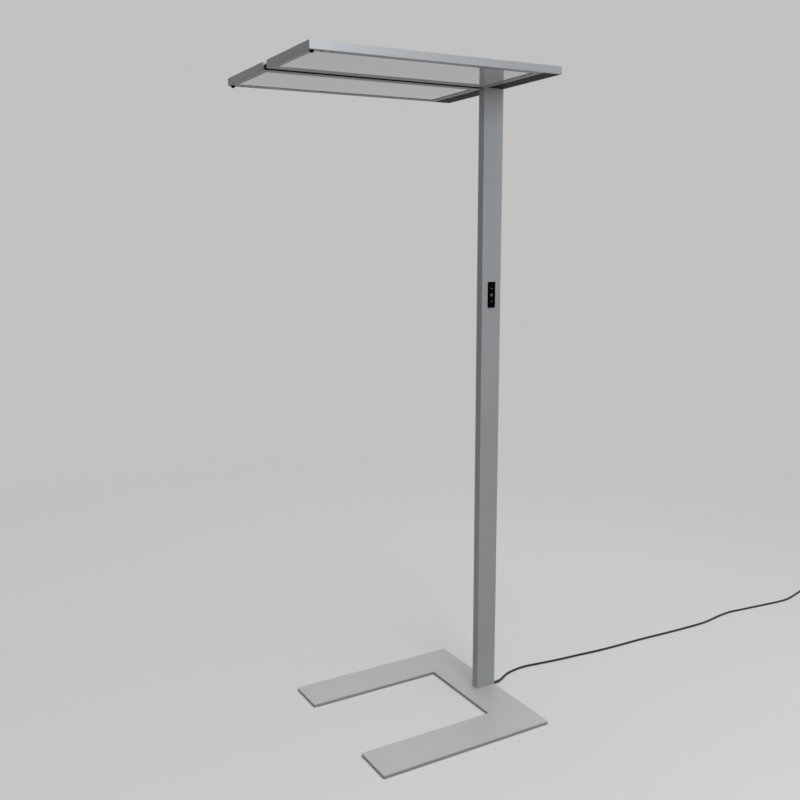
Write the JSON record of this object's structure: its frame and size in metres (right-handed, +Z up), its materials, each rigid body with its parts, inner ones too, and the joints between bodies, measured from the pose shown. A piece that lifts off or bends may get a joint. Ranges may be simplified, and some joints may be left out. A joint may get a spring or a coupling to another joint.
{
  "type": "office floor lamp",
  "caption": "Free-standing office lamp: thin head of two flat light panels on a slim column with a keypad and a U-shaped base plate.",
  "frame": {"origin": "on the floor, under the middle of the head, which is the middle of the lamp's box without the mains lead", "axes": "+Z up, +X from the column towards the tip of the head, +Y across the lamp towards the keypad's side"},
  "size_m": [2.5115, 0.582, 1.95],
  "materials": {
    "base_paint": "satin silver powder coat",
    "rubber_feet": "matte",
    "zinc_steel": "zinc plated",
    "silver_aluminium": "satin anodised",
    "black_aluminium": "black anodised",
    "black_plastic": "fine grain",
    "keypad_gloss": "gloss",
    "opal_acrylic": "gloss opal",
    "clear_acrylic": "clear",
    "white_sheet": "matte white",
    "back_aluminium": "mill finish",
    "led_board": "white solder mask",
    "driver_case": "white paint",
    "circuit_board": "green solder mask",
    "nickel_plate": "nickel plated",
    "lead_jacket": "smooth PVC",
    "lead_rubber": "soft moulded"
  },
  "bodies": {
    "lamp": {"base_plate": "base_paint", "base_glides": "rubber_feet", "base_screws": "zinc_steel", "column_profile": "silver_aluminium", "column_cap": "silver_aluminium", "column_cable": "lead_jacket", "head_bracket": "zinc_steel", "head_spine": "black_aluminium", "spine_cap": "black_plastic", "spine_screws": "zinc_steel", "column_screws": "zinc_steel", "head_leads": "lead_jacket", "near_frame": "silver_aluminium", "near_rear_cover": "black_plastic", "near_diffuser": "opal_acrylic", "near_light_guide": "clear_acrylic", "near_led_strips": "led_board", "near_reflector": "white_sheet", "near_back_plate": "back_aluminium", "near_uplight_board": "led_board", "near_uplight_window": "opal_acrylic", "near_top_cover": "silver_aluminium", "near_driver": "driver_case", "near_pir_lens": "keypad_gloss", "near_light_sensor": "keypad_gloss", "near_remote_eye": "keypad_gloss", "near_sensor_board": "circuit_board", "far_frame": "silver_aluminium", "far_rear_cover": "black_plastic", "far_diffuser": "opal_acrylic", "far_light_guide": "clear_acrylic", "far_led_strips": "led_board", "far_reflector": "white_sheet", "far_back_plate": "back_aluminium", "far_uplight_board": "led_board", "far_uplight_window": "opal_acrylic", "far_top_cover": "silver_aluminium", "far_driver": "driver_case", "far_pir_lens": "keypad_gloss", "far_light_sensor": "keypad_gloss", "far_remote_eye": "keypad_gloss", "far_sensor_board": "circuit_board", "top_cover_screws": "zinc_steel", "keypad_bezel": "keypad_gloss", "keypad_tray": "black_plastic", "keypad_board": "circuit_board", "keypad_switches": "nickel_plate", "cord_relief": "lead_rubber", "cord_lead": "lead_jacket", "cord_coil": "lead_jacket", "cord_tail": "lead_jacket", "plug_body": "lead_rubber", "plug_pins": "nickel_plate"},
    "up_key": {"key_up": "keypad_gloss"},
    "power_key": {"key_power": "keypad_gloss"},
    "down_key": {"key_down": "keypad_gloss"}
  },
  "joints": [
    {"name": "up_key_press", "type": "slide", "parent": "lamp", "child": "up_key", "axis": [0, -1, 0], "range_m": [0, 0.0006], "stiffness_N_per_m": 1500},
    {"name": "power_key_press", "type": "slide", "parent": "lamp", "child": "power_key", "axis": [0, -1, 0], "range_m": [0, 0.0006], "stiffness_N_per_m": 1500},
    {"name": "down_key_press", "type": "slide", "parent": "lamp", "child": "down_key", "axis": [0, -1, 0], "range_m": [0, 0.0006], "stiffness_N_per_m": 1500}
  ]
}
